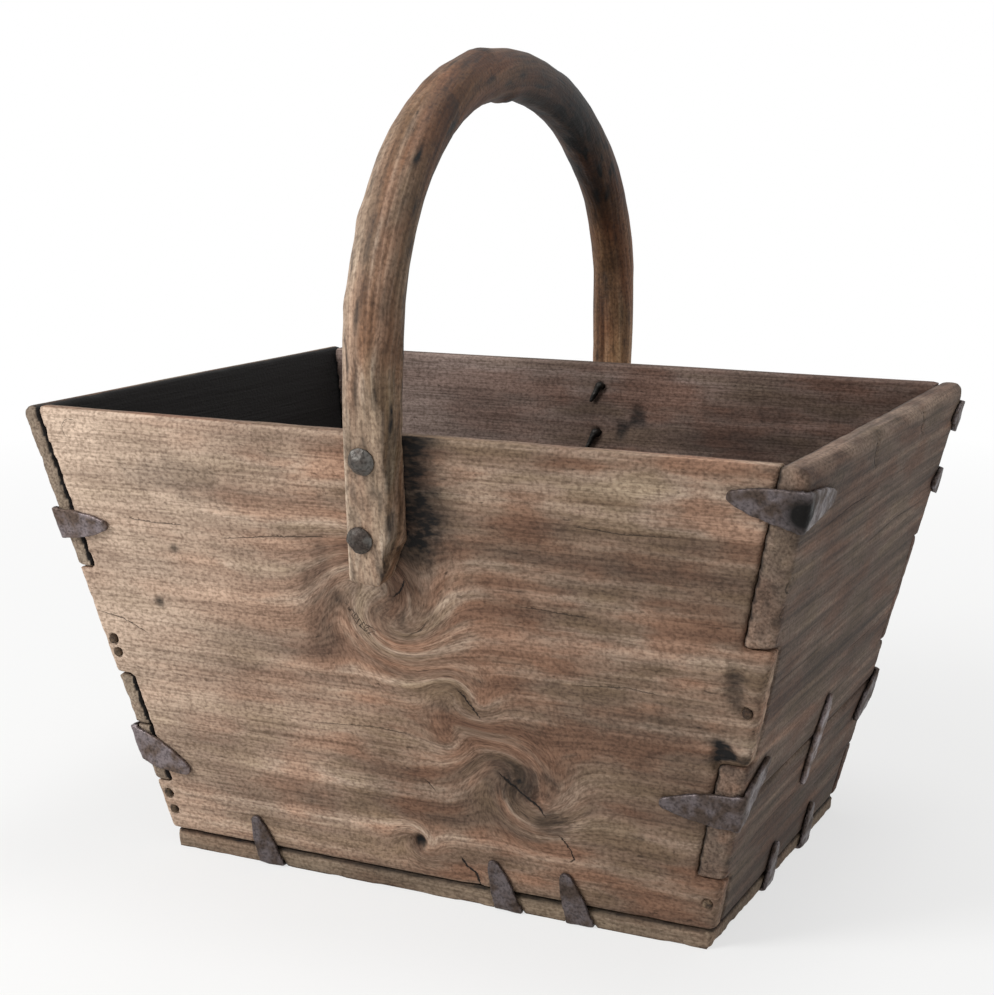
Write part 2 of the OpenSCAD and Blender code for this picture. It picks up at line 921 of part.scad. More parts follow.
front_board();
back_board();
left_end_upper_plank();
left_end_lower_plank();
right_end_upper_plank();
right_end_lower_plank();
base_board();
handle();
front_upper_handle_nail();
front_lower_handle_nail();
back_upper_handle_nail();
back_lower_handle_nail();
front_left_upper_staple();
front_left_lower_staple();
front_right_upper_staple();
front_right_lower_staple();
back_right_upper_staple();
back_right_middle_staple();
back_right_lower_staple();
back_left_upper_staple();
back_left_lower_staple();
right_seam_staple();
left_seam_staple();
front_base_staples();
back_base_staples();
right_base_staples();
left_base_staples();
front_left_pegs();
front_right_pegs();
back_left_pegs();
back_right_pegs();
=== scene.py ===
import math

import bmesh
import bpy
import numpy as np
from mathutils import Matrix, Vector, noise


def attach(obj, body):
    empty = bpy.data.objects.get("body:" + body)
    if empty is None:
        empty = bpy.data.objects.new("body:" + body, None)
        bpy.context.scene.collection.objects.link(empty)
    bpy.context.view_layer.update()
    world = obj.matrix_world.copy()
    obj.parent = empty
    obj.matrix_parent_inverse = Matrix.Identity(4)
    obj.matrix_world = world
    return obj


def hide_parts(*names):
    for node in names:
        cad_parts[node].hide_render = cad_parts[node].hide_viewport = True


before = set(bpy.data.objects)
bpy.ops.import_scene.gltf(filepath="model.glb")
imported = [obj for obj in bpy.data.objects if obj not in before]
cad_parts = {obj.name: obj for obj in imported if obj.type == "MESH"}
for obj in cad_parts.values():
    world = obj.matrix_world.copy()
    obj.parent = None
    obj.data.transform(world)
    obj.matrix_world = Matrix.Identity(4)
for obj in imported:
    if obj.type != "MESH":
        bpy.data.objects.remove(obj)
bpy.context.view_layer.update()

# Camera
# It stands before the basket and to its right, a little above the rim, and looks
# slightly down on it.
CAMERA_PLACE = (0.45205, -0.96695, 0.41256)
CAMERA_YAW = math.radians(25.625)
CAMERA_TILT = math.radians(11.099)
CAMERA_ROLL = math.radians(0.143)
CAMERA_LENS = 67.169

scene = bpy.context.scene
scene.view_settings.view_transform = "Standard"
camera_data = bpy.data.cameras.new("camera")
camera_data.lens = CAMERA_LENS
camera = bpy.data.objects.new("camera", camera_data)
camera.matrix_world = (
    Matrix.Translation(CAMERA_PLACE)
    @ Matrix.Rotation(CAMERA_YAW, 4, "Z")
    @ Matrix.Rotation(math.pi / 2 - CAMERA_TILT, 4, "X")
    @ Matrix.Rotation(CAMERA_ROLL, 4, "Z")
)
scene.collection.objects.link(camera)
scene.camera = camera

# Floor and light
# A plain pale floor that runs out to white, under one large soft lamp at the front left,
# a weaker one above and the light of a pale room.
FLOOR_RADIUS = 5.0
FLOOR_FADE = (0.35, 1.6)
FLOOR_NEAR_WHITE = 0.66
ROOM_LIGHT = 0.42
LAMPS = {
    "front_left_lamp": ((-1.15, -1.65, 1.45), 0.9, 36),
    "top_lamp": ((0.3, 0.2, 2.2), 0.8, 12),
}
LIT_POINT = Vector((0, 0, 0.2))


def colour(hexed):
    """The linear RGBA that a shader takes for an sRGB hex colour."""
    shares = [int(hexed[i:i + 2], 16) / 255 for i in (1, 3, 5)]
    return [s / 12.92 if s <= 0.04045 else ((s + 0.055) / 1.055) ** 2.4 for s in shares] + [1]


def add_node(tree, kind, inputs=None, stops=(), **options):
    """Adds a shader node with its options, its colour stops, and its sockets filled or linked."""
    added = tree.nodes.new("ShaderNode" + kind)
    for option, value in options.items():
        setattr(added, option, value)
    for socket, value in (inputs or {}).items():
        if isinstance(value, bpy.types.NodeSocket):
            tree.links.new(value, added.inputs[socket])
        else:
            added.inputs[socket].default_value = value
    for number, (place, tone) in enumerate(stops):
        elements = added.color_ramp.elements
        stop = elements[number] if number < 2 else elements.new(place)
        stop.position = place
        stop.color = colour(tone)
    return added


def rays_that_see_white(tree):
    """1 for camera, glossy and transmission rays, which see the backdrop as white."""
    rays = add_node(tree, "LightPath").outputs
    mirrored = add_node(
        tree, "Math", {0: rays["Is Glossy Ray"], 1: rays["Is Transmission Ray"]}, operation="MAXIMUM"
    )
    seen = add_node(
        tree, "Math", {0: rays["Is Camera Ray"], 1: mirrored.outputs[0]}, operation="MAXIMUM"
    )
    return seen.outputs[0]


world = bpy.data.worlds.new("pale_room")
scene.world = world
world.use_nodes = True
tree = world.node_tree
tree.nodes.clear()
room = add_node(
    tree, "Math", {0: rays_that_see_white(tree), 1: 1 - ROOM_LIGHT, 2: ROOM_LIGHT},
    operation="MULTIPLY_ADD",
)
air = add_node(tree, "Background", {"Strength": room.outputs[0], "Color": colour("#ffffff")})
add_node(tree, "OutputWorld", {"Surface": air.outputs[0]})

shape = bmesh.new()
bmesh.ops.create_circle(shape, cap_ends=True, segments=96, radius=FLOOR_RADIUS)
floor_mesh = bpy.data.meshes.new("floor")
shape.to_mesh(floor_mesh)
shape.free()
floor = bpy.data.objects.new("floor", floor_mesh)
scene.collection.objects.link(floor)
painted = bpy.data.materials.new("pale_painted_floor")
painted.use_nodes = True
tree = painted.node_tree
tree.nodes.clear()
place = add_node(tree, "TexCoord").outputs["Object"]
away = add_node(tree, "VectorMath", {0: place}, operation="LENGTH")
fade = add_node(
    tree, "MapRange",
    {"Value": away.outputs["Value"], "From Min": FLOOR_FADE[0], "From Max": FLOOR_FADE[1],
     "To Min": FLOOR_NEAR_WHITE, "To Max": 1.0},
)
share = add_node(
    tree, "Math", {0: fade.outputs[0], 1: rays_that_see_white(tree)}, operation="MULTIPLY"
)
matt = add_node(tree, "BsdfDiffuse", {"Color": colour("#efefed")})
white = add_node(tree, "Emission", {"Color": colour("#ffffff"), "Strength": 1.0})
both = add_node(tree, "MixShader", {0: share.outputs[0], 1: matt.outputs[0], 2: white.outputs[0]})
add_node(tree, "OutputMaterial", {"Surface": both.outputs[0]})
floor_mesh.materials.append(painted)

for name, (lamp_place, size, watts) in LAMPS.items():
    lamp_data = bpy.data.lights.new(name, "AREA")
    lamp_data.size = size
    lamp_data.energy = watts
    lamp = bpy.data.objects.new(name, lamp_data)
    lamp.location = lamp_place
    lamp.rotation_euler = (Vector(lamp_place) - LIT_POINT).to_track_quat("Z", "Y").to_euler()
    scene.collection.objects.link(lamp)

# Base board
# One flat sawn board under the four walls, grey with damp and wear along its edge.
# Its grain runs along the basket, and its staples are let in underneath.
MM = 0.001
X, Y, Z = 0, 1, 2
BASE_SKIN = 1.9
BASE_TOP = (0, 0, 1)
SAME_POINT = 0.01
NO_SPLIT_NEAR = 9.0
FULL_SOOT = 1.4
WORN_OFF = 0.12
WARP = 0.25
RAISED_GRAIN = 0.13
CRUMBLED_OFF = 0.4
ARRIS_TURN = 0.29  # how far the normal of a 45 degree arris falls short of its face's
NICK_START = 0.15


class WornCopy:
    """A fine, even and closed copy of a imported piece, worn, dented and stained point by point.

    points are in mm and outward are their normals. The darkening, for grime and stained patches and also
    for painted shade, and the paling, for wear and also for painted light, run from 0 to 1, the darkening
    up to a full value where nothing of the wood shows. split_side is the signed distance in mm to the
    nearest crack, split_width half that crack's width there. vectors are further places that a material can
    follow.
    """

    def __init__(self, node, name, skin_mm, rounding=1):
        self.node = node
        self.piece = bpy.data.objects.new(name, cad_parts[node].data.copy())
        scene.collection.objects.link(self.piece)
        shell = bmesh.new()
        shell.from_mesh(self.piece.data)
        bmesh.ops.remove_doubles(shell, verts=shell.verts, dist=SAME_POINT * MM)
        shell.to_mesh(self.piece.data)
        shell.free()
        skin = self.piece.modifiers.new("even_skin", "REMESH")
        skin.mode = "VOXEL"
        skin.voxel_size = skin_mm * MM
        skin.use_smooth_shade = True
        even = self.piece.evaluated_get(bpy.context.evaluated_depsgraph_get())
        self.mesh = bpy.data.meshes.new_from_object(even)
        self.mesh.materials.clear()
        self.piece.modifiers.clear()
        self.piece.data = self.mesh
        shell = bmesh.new()
        shell.from_mesh(self.mesh)
        for _ in range(rounding):
            bmesh.ops.smooth_vert(
                shell, verts=shell.verts, factor=0.5, use_axis_x=True, use_axis_y=True, use_axis_z=True
            )
        shell.to_mesh(self.mesh)
        shell.free()
        self.read()
        count = len(self.points)
        self.soot_and_shade = np.zeros(count)
        self.dust_and_light = np.zeros(count)
        self.split_side = np.full(count, NO_SPLIT_NEAR)
        self.split_width = np.zeros(count)
        self.vectors = {}

    def read(self):
        """Takes the points and their normals from the mesh."""
        held = np.empty(len(self.mesh.vertices) * 3, np.float32)
        self.mesh.vertices.foreach_get("co", held)
        self.points = held.reshape(-1, 3).astype(float) / MM
        self.mesh.vertices.foreach_get("normal", held)
        self.outward = held.reshape(-1, 3).astype(float)

    def sink(self, depth):
        """Moves the points inwards by depth, in mm, and takes their new normals."""
        self.points -= self.outward * np.broadcast_to(depth, len(self.points))[:, None]
        self.mesh.vertices.foreach_set("co", (self.points * MM).astype(np.float32).ravel())
        self.mesh.update()
        self.read()

    def finish(self, material):
        """Stores its marks, painted light and shade among them, and its cracks on the mesh, gives it its
        material and hands it to the frame.
        """
        markings = {
            "soot_and_shade": np.clip(self.soot_and_shade, 0, FULL_SOOT), "dust_and_light": np.clip(self.dust_and_light, 0, 1),
            "split_side": self.split_side, "split_width": self.split_width,
        }
        for name, values in markings.items():
            layer = self.mesh.attributes.new(name, "FLOAT", "POINT")
            layer.data.foreach_set("value", values.astype(np.float32))
        for name, values in self.vectors.items():
            layer = self.mesh.attributes.new(name, "FLOAT_VECTOR", "POINT")
            layer.data.foreach_set("vector", values.astype(np.float32).ravel())
        self.mesh.materials.append(material)
        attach(self.piece, "root")
        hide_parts(self.node)


def waves(points, lengths, seed):
    """Smooth random waves, about -1 to 1, at each point, with these lengths in mm."""
    spread = points / np.array(lengths, float) + 31.7 * seed
    return np.array([noise.noise(Vector(spot)) for spot in spread]) * 1.6


def bell(distance, reach):
    """1 at no distance, falling smoothly to nothing past reach."""
    return np.exp(-((distance / reach) ** 2))


def along_grain(grain, length, width):
    """Wave lengths that are long along the grain and short across it."""
    return [length if axis == grain else width for axis in (X, Y, Z)]


def weather_board(board, grain, face, seed, crumble=0.5, knocks=2.2, ease=0.1):
    """Wears a sawn board: crumble is the depth in mm lost off its end grain, ease the depth
    rubbed off all its arrises and knocks the depth of the nicks in them."""
    face = np.array(face, float)
    run = np.eye(3)[grain]
    edge = np.cross(face, run)
    on_end = np.abs(board.outward @ run)
    squareness = np.maximum(on_end, np.abs(board.outward @ face))
    squareness = np.maximum(squareness, np.abs(board.outward @ edge))
    board.arris = np.clip((1 - squareness) / ARRIS_TURN, 0, 1)
    board.on_end = on_end
    slow = waves(board.points, along_grain(grain, 170, 48), seed)
    ridges = waves(board.points, along_grain(grain, 80, 6.5), seed + 1)
    crumbs = waves(board.points, (4.2, 4.2, 4.2), seed + 2)
    nicks = np.maximum(0, waves(board.points, along_grain(grain, 17, 9), seed + 3) - NICK_START)
    board.sink(
        WORN_OFF + WARP * slow + RAISED_GRAIN * ridges
        + on_end ** 2 * crumble * (crumbs + CRUMBLED_OFF)
        + board.arris * (ease + knocks * nicks)
    )


def old_wood(
    name, pale, ground, dark, grain, fibre_mm=1.3, figure_mm=10, roughness=0.82, follow=None
):
    """Old unfinished softwood: dry, dull and grey-brown, with raised darker grain lines along one axis,
    cloudy dirt and small dark flecks. Its stained marks, painted light and shade among them, and its cracks
    come from the mesh."""
    material = bpy.data.materials.new(name)
    material.use_nodes = True
    tree = material.node_tree
    shader = tree.nodes["Principled BSDF"]
    shader.inputs["Roughness"].default_value = roughness
    shader.inputs["Specular IOR Level"].default_value = 0.3
    if follow:
        place = add_node(tree, "Attribute", attribute_name=follow).outputs["Vector"]
    else:
        place = add_node(tree, "TexCoord").outputs["Object"]
    soot_and_shade, dust_and_light, split_side, split_width = [
        add_node(tree, "Attribute", attribute_name=marking).outputs["Fac"]
        for marking in ("soot_and_shade", "dust_and_light", "split_side", "split_width")
    ]

    def pattern(length, width, detail, seed):
        """Noise with these sizes in mm along the grain and across it."""
        scale = [1 / (size * MM) for size in along_grain(grain, length, width)]
        stretched = add_node(tree, "Mapping", {"Vector": place, "Scale": scale, "Location": [seed] * 3})
        made = add_node(tree, "TexNoise", {"Vector": stretched.outputs[0], "Scale": 1, "Detail": detail})
        return made.outputs[0]

    def washed(under, *washes):
        """A tone under washes, each given as its pattern, its colour stops and its strength."""
        for over, stops, strength in washes:
            wash = add_node(tree, "ValToRGB", {0: over}, stops).outputs[0]
            mixed = add_node(
                tree, "Mix", {0: strength, 6: under, 7: wash}, data_type="RGBA", blend_type="MULTIPLY"
            )
            under = mixed.outputs[2]
        return under

    def covered(under, share, tone):
        """A tone covered with another by a share from 0 to 1."""
        mixed = add_node(tree, "Mix", {0: share, 6: under, 7: colour(tone)}, data_type="RGBA")
        return mixed.outputs[2]

    figure = pattern(300, figure_mm, 5, 3)
    fibres = pattern(42, fibre_mm, 3, 11)
    scratches = pattern(1.5, 24, 3, 17)
    specks = pattern(2.2, 1.6, 3, 29)
    clouds = pattern(70, 38, 5, 23)
    tints = pattern(60, 17, 4, 31)
    flecks = pattern(7, 2.4, 2, 37)
    wood = add_node(tree, "ValToRGB", {0: figure}, [(0.3, dark), (0.5, ground), (0.72, pale)])
    wood = washed(
        wood.outputs[0],
        (tints, [(0.36, "#e6e6da"), (0.47, "#ffffff"), (0.6, "#f7ddd0")], 0.8),
        (clouds, [(0.38, "#8d8078"), (0.62, "#ffffff")], 0.5),
    )
    # The paling covers the wood with its pale tone in patches, for wear and also for painted light.
    patchy = add_node(
        tree, "MapRange", {"Value": clouds, "From Min": 0.35, "From Max": 0.6, "To Min": 0.55}
    )
    pale_share = add_node(tree, "Math", {0: dust_and_light, 1: patchy.outputs[0]}, operation="MULTIPLY")
    wood = washed(
        covered(wood, pale_share.outputs[0], pale),
        (fibres, [(0.34, "#8f847c"), (0.55, "#ffffff")], 0.45),
        (scratches, [(0.36, "#a1968d"), (0.56, "#ffffff")], 0.14),
        (specks, [(0.34, "#8d8178"), (0.58, "#ffffff")], 0.6),
        (flecks, [(0.24, "#5f534b"), (0.31, "#ffffff")], 0.6),
    )
    # The darkening covers the wood with near black, for grime and also for painted shade.
    rubbed = add_node(
        tree, "MapRange",
        {"Value": flecks, "From Min": 0.3, "From Max": 0.65, "To Min": 1.15, "To Max": 0.8},
    )
    dark_share = add_node(
        tree, "Math", {0: soot_and_shade, 1: rubbed.outputs[0]}, operation="MULTIPLY", use_clamp=True
    )
    wood = covered(wood, dark_share.outputs[0], "#0e0b0a")
    wobble = add_node(tree, "Math", {0: specks, 1: 2.0, 2: -1.0}, operation="MULTIPLY_ADD")
    side = add_node(tree, "Math", {0: split_side, 1: wobble.outputs[0]}, operation="ADD")
    side = add_node(tree, "Math", {0: side.outputs[0]}, operation="ABSOLUTE")
    inside = add_node(tree, "Math", {0: split_width, 1: side.outputs[0]}, operation="SUBTRACT")
    crack = add_node(
        tree, "Math", {0: inside.outputs[0], 1: 2.2}, operation="MULTIPLY", use_clamp=True
    ).outputs[0]
    wood = covered(wood, crack, "#120e0b")
    tree.links.new(wood, shader.inputs["Base Color"])
    relief = figure
    for over, height in ((fibres, 0.6), (scratches, 0.12), (specks, 0.5), (crack, -1.5)):
        raised = add_node(tree, "Math", {0: over, 1: height, 2: relief}, operation="MULTIPLY_ADD")
        relief = raised.outputs[0]
    bump = add_node(tree, "Bump", {"Height": relief, "Distance": 0.9 * MM, "Strength": 0.8})
    tree.links.new(bump.outputs[0], shader.inputs["Normal"])
    return material


base = WornCopy("base_board", "base_board_worn", BASE_SKIN, rounding=0)
weather_board(base, X, BASE_TOP, seed=1, crumble=0.3, knocks=1.6, ease=0)
base.soot_and_shade = 0.75 * (base.outward[:, Z] > 0.5)
base.soot_and_shade = base.soot_and_shade + 0.25 * np.abs(waves(base.points, (60, 30, 8), 5))
base.dust_and_light = 0.5 * (np.abs(base.outward[:, Z]) < 0.5)
base.finish(old_wood("damp_grey_base_wood", "#b3a08b", "#917c68", "#6f5f50", X))

# End planks
# Each end is two sawn planks, one above the other, with a level seam between them. Their
# fingers reach through to the front, where the end grain has crumbled.
END_SKIN = 2.0
END_FACE = {"left": (-0.9753, 0, -0.2208), "right": (0.9753, 0, -0.2208)}
ON_FACE = 0.4  # a point lies on a face where its normal goes with the face's by this much
DAMP_HEIGHT = 90
RIM_WEAR = (252, 8)
SPLIT_DEPTH = 0.7
SPLIT_LIP = 1.8
WIDE_SPLIT = 0.5
SPLIT_TAPER = 6  # a crack runs out to nothing over a sixth of its length at each end
left_wood = old_wood("sooted_and_shaded_left_end_wood", "#b5a390", "#8d7a68", "#5e4e42", Y)
right_wood = old_wood(
    "grey_brown_right_end_wood", "#a08a79", "#7a695d", "#55473e", Y, figure_mm=6
)


def draw_splits(flat, lines):
    """Signed distance from each flat point to the nearest line, and that line's half width there.
    Each line is its half width at most and its corners, all in mm."""
    nearest = np.full(len(flat), NO_SPLIT_NEAR)
    side = nearest.copy()
    width = np.zeros(len(flat))
    for half_width, *corners in lines:
        corners = np.array(corners, float)
        runs = np.diff(corners, axis=0)
        lengths = np.linalg.norm(runs, axis=1)
        for number, (start, run, length) in enumerate(zip(corners, runs, lengths)):
            share = np.clip((flat - start) @ run / length ** 2, 0, 1)
            off = flat - start - share[:, None] * run
            distance = np.linalg.norm(off, axis=1)
            closer = distance < nearest
            nearest[closer] = distance[closer]
            turn = np.sign(run[0] * off[:, 1] - run[1] * off[:, 0])
            side[closer] = (turn * distance)[closer]
            travelled = (lengths[:number].sum() + share * length) / lengths.sum()
            taper = np.clip(np.minimum(travelled, 1 - travelled) * SPLIT_TAPER, 0, 1)
            width[closer] = (half_width * taper)[closer]
    return side, width


def cut_splits(board, flat, lines, shown):
    """Draws cracks on the shown points of a board and opens the wood a little along them."""
    side, width = draw_splits(flat[shown], lines)
    board.split_side[shown] = side
    board.split_width[shown] = width
    opened = np.zeros(len(board.points))
    opened[shown] = SPLIT_DEPTH * np.minimum(1, width / WIDE_SPLIT) * bell(side, SPLIT_LIP)
    board.sink(opened)


def ring(centre, radius, start=0, end=360, step=30):
    """Corners of a ring or an arc, in mm."""
    angles = [math.radians(a) for a in range(start, end + 1, step)]
    return [(centre[0] + radius * math.cos(a), centre[1] + radius * math.sin(a)) for a in angles]


END_SPLITS = {
    "left_end_upper_plank": [
        (0.4, (-126, 86), (-120, 120)), (0.4, (-60, 150), (-5, 156), (30, 153)),
    ],
    "left_end_lower_plank": [(0.4, (-100, 50), (-50, 53), (-10, 50))],
    "right_end_upper_plank": [
        (0.35, (-120, 226), (-60, 229), (-20, 228)), (0.35, (-10, 196), (60, 199), (120, 197)),
        (0.3, (-130, 150), (-80, 148), (-40, 149)), (0.35, (20, 128), (70, 127), (118, 130)),
        (0.5, (-40, 262), (-36, 248), (-28, 243)), (0.5, (62, 263), (66, 250), (74, 246)),
        (0.35, *ring((-149, 206), 4)), (0.3, *ring((-147, 192), 3.4)), (0.3, *ring((-142, 178), 4)),
    ],
    "right_end_lower_plank": [
        (0.35, (-95, 52), (-40, 54), (0, 52)), (0.35, (30, 40), (70, 41), (105, 44)),
    ],
}
for node, lines in END_SPLITS.items():
    end = "left" if node.startswith("left") else "right"
    plank = WornCopy(node, node + "_worn", END_SKIN)
    seed = 7 + len(node) + 5 * (end == "right")
    weather_board(plank, Y, END_FACE[end], seed, crumble=0.35, knocks=0.9)
    facing_out = plank.outward @ np.array(END_FACE[end])
    outside = facing_out > ON_FACE
    inside = facing_out < -ON_FACE
    cut_splits(plank, plank.points[:, [Y, Z]], lines, outside)
    height = plank.points[:, Z]
    front_end = (plank.outward[:, Y] < -0.5)
    # Painted shade, with some sooting, on the inner faces in the basket: near black at the left end, dark
    # at the right end.
    plank.soot_and_shade += inside * (FULL_SOOT if end == "left" else 0.7)
    plank.soot_and_shade += plank.on_end * 0.35 * np.maximum(0, waves(plank.points, (5, 5, 9), 21))
    if end == "left":
        plank.dust_and_light += front_end * 0.9
    else:
        plank.dust_and_light += front_end * 0.35
        plank.soot_and_shade += outside * 0.42 * np.clip(1 - height / DAMP_HEIGHT, 0, 1)
        rim_band = np.clip((height - RIM_WEAR[0]) / RIM_WEAR[1], 0, 1) * (plank.outward[:, X] > -0.5)
        plank.dust_and_light += 0.8 * rim_band * np.clip(0.6 + waves(plank.points, (9, 26, 9), 22), 0, 1)
    plank.finish(left_wood if end == "left" else right_wood)

# Side boards
# Front and back are one wide sawn board each, planed by hand, with the fingers cut at their ends. Age has
# left cracks, gouges and stains, and the front carries painted light at its upper left and painted shade
# towards its right.
FRONT_SKIN = 1.8
BACK_SKIN = 2.2
FRONT_FACE = (0, -0.9813, -0.1925)
BACK_FACE = (0, 0.9813, -0.1925)
# Cracks are half widths and corners, knots are centres, reaches and turns, and stains and
# dents are centres, reaches and strengths, all in mm on the board's face.
FRONT_SPLITS = [
    (0.35, (-168, 205), (-145, 203.5), (-122, 204)),
    (0.35, (-107, 198), (-70, 203), (-28, 207)),
    (0.4, (-195, 146), (-178, 143), (-160, 135)),
    (0.7, (50, 84), (60, 75), (72, 66), (78, 60)),
    (0.5, (82, 52), (90, 44), (92, 38), (87, 36)),
    (0.8, (24, 29), (27, 22), (32, 19), (35, 10)),
    (0.5, (31, 129), (37, 121), (45, 112)),
    (0.4, (6, 73), (13, 66)),
    (0.35, *ring((-8, 176), 21, 200, 270)),
    (0.35, *ring((-4, 176), 27, 190, 250)),
    (0.35, *ring((2, 174), 19, 280, 350)),
    (0.6, (8, 188), (4, 180), (-1, 176)),
    (0.25, *ring((-192, 253), 6, 40, 250)),
    (0.3, (100, 226), (130, 224), (160, 225)),
    (0.3, (70, 180), (115, 178)),
    (0.3, (96, 140), (128, 143), (150, 141)),
    (0.3, (-60, 96), (-20, 99), (8, 97)),
]
FRONT_KNOTS = [
    ((-8, 172), 26, 2.6), ((64, 76), 22, 2.2), ((34, 122), 15, 1.5), ((30, 100), 12, -1.2),
    ((-1, 32), 10, 1.5),
]
FRONT_STAINS = [
    ((-128, 232), (34, 11), 0.32), ((-44, 170), (12, 26), 0.35), ((-1, 32), (4.5, 4.5), 1.0),
    ((-150, 156), (3.5, 3), 0.8), ((-135, 190), (3, 2.5), 0.8), ((-8, 172), (24, 20), 0.33),
    ((62, 80), (17, 12), 0.6), ((80, 58), (9, 9), 0.35), ((178, 110), (7, 9), 1.0),
    ((184, 151), (5, 12), 0.5), ((90, 200), (60, 18), 0.22), ((120, 120), (50, 22), 0.25),
    ((30, 60), (90, 14), 0.2), ((-100, 40), (60, 16), 0.18),
]
FRONT_DENTS = [
    ((-1, 32), (4, 4), 3.5), ((178, 110), (8, 9), 3.2), ((184, 151), (5, 12), 1.5),
    ((48, 90), (12, 10), 1.2), ((68, 70), (13, 11), 1.6), ((84, 52), (11, 10), 1.4),
    ((-192, 253), (5, 5), 0.7), ((36, 120), (8, 9), 0.8), ((-14, 174), (17, 17), 0.6),
    ((30, 20), (6, 8), 0.9), ((-200, 130), (7, 5), 1.5), ((-190, 96), (7, 4), 1.5),
]
BACK_INSIDE_STAINS = [
    ((20, 232), (5, 8), 0.9), ((8, 224), (4, 6), 0.8), ((-60, 236), (60, 16), 0.12),
    ((90, 215), (50, 20), 0.3), ((150, 236), (30, 9), 0.35), ((-120, 225), (40, 20), 0.1),
]
BACK_INSIDE_DENTS = [((20, 232), (5, 7), 1.5), ((8, 224), (4, 5), 1.2)]
RAGGEDNESS = 0.35
KNOT_RINGS = (30, 30, 3.6)
KNOT_DEPTH = 0.75
# A painted shadow of the handle's foot lies on the front beside it: it starts here, fades over its reach to
# the right, and dies out downwards from its foot over its rise.
FOOT_SHADE_START = 20
FOOT_SHADE_REACH = 19
FOOT_SHADE_FOOT = 176
FOOT_SHADE_RISE = 34


def spots(flat, marks, seed):
    """Each mark's soft uneven spot times its strength, added up over flat points."""
    total = np.zeros(len(flat))
    bulk = np.column_stack([flat[:, 0], np.zeros(len(flat)), flat[:, 1]])
    ragged = 1 + RAGGEDNESS * waves(bulk, (9, 9, 9), seed)
    for centre, reach, strength in marks:
        away = np.linalg.norm((flat - np.array(centre)) / np.array(reach), axis=1)
        total += strength * np.exp(-((away * ragged) ** 4))
    return total


front_wood = old_wood(
    "planed_front_wood", "#e3cab4", "#a98e79", "#8d7564", X, figure_mm=11, follow="board_run"
)
front = WornCopy("front_board", "front_board_worn", FRONT_SKIN)
weather_board(front, X, FRONT_FACE, seed=3, crumble=0.1, knocks=0.9)
facing_out = front.outward @ np.array(FRONT_FACE)
outside = facing_out > ON_FACE
flat = front.points[:, [X, Z]]
front.sink(outside * spots(flat, FRONT_DENTS, 41))
swirled = front.points.copy()
knotty = np.zeros(len(flat))
for centre, reach, turn in FRONT_KNOTS:
    off = flat - np.array(centre)
    near = bell(np.linalg.norm(off, axis=1), reach)
    cos, sin = np.cos(turn * near), np.sin(turn * near)
    swirled[:, X] += cos * off[:, 0] - sin * off[:, 1] - off[:, 0]
    swirled[:, Z] += sin * off[:, 0] + cos * off[:, 1] - off[:, 1]
    knotty += near
rings = waves(swirled, KNOT_RINGS, 42)
front.sink(outside * knotty * KNOT_DEPTH * (0.5 + rings))
front.vectors["board_run"] = swirled * MM
cut_splits(front, flat, FRONT_SPLITS, outside)
across = front.points[:, X]
height = front.points[:, Z]
front.soot_and_shade += outside * spots(flat, FRONT_STAINS, 43)
# Painted shade: the front darkens towards its right, away from the lamp.
front.soot_and_shade += 0.42 * outside * np.clip((across + 10) / 300, 0, 1)
# Painted shadow of the handle's foot, in a ragged band on the front to its right.
ragged = 4 * waves(front.points, (30, 30, 30), 46)
foot_shadow = bell(np.maximum(0, across - FOOT_SHADE_START + ragged), FOOT_SHADE_REACH)
rise = np.clip((height - FOOT_SHADE_FOOT) / FOOT_SHADE_RISE, 0, 1)
front.soot_and_shade += 0.95 * outside * (across > 0) * foot_shadow * rise
front.soot_and_shade += 0.3 * outside * knotty * np.clip(rings, 0, 1)
front.soot_and_shade += 0.8 * (front.outward @ np.array(FRONT_FACE) < -ON_FACE)
# Painted light: the front pales unevenly towards its upper left, nearer the lamp.
lit_upper_left = np.clip((-across - 10) / 190, 0, 1) * np.clip(0.35 + height / 330, 0, 1)
uneven = 1 + 0.4 * waves(front.points, (50, 50, 22), 45)
front.dust_and_light += outside * np.clip(1.1 * lit_upper_left * uneven, 0, 1)
front.dust_and_light += 0.35 * front.arris * (across < 120)
front.finish(front_wood)

back_wood = old_wood("dark_back_wood", "#a18e85", "#7d685d", "#64534a", X, figure_mm=11)
back = WornCopy("back_board", "back_board_worn", BACK_SKIN)
weather_board(back, X, BACK_FACE, seed=13, crumble=0.1, knocks=0.9)
inside = back.outward @ np.array(BACK_FACE) < -ON_FACE
flat = back.points[:, [X, Z]]
back.sink(inside * spots(flat, BACK_INSIDE_DENTS, 47))
across = back.points[:, X]
height = back.points[:, Z]
back.soot_and_shade += inside * spots(flat, BACK_INSIDE_STAINS, 49)
# Painted shade: the inside of the back darkens towards its foot, deeper in the basket.
back.soot_and_shade += inside * np.clip(0.75 - height / 260, 0, 1)
# Painted light: the inside of the back pales towards its upper left.
back.dust_and_light += 0.9 * inside * np.clip((-across - 20) / 150, 0, 1) * (height > 190)
back.dust_and_light += 0.6 * back.arris * (height > 250)
back.finish(back_wood)

# Corner pegs
# Whittled round pegs driven through the boards' fingers into the end grain of the ends,
# their ends worn level and darker than the board.
PEG_SKIN = 0.6
peg_wood = old_wood(
    "whittled_peg_wood", "#a48c73", "#7b6653", "#54453a", Y, fibre_mm=0.8, figure_mm=2.5
)
for corner in ("front_left", "front_right", "back_left", "back_right"):
    pegs = WornCopy(corner + "_pegs", corner + "_pegs_worn", PEG_SKIN)
    pegs.sink(0.12 * waves(pegs.points, (2.5, 20, 2.5), 51))
    pegs.soot_and_shade += 0.35 + 0.3 * waves(pegs.points, (2, 2, 2), 52)
    pegs.finish(peg_wood)

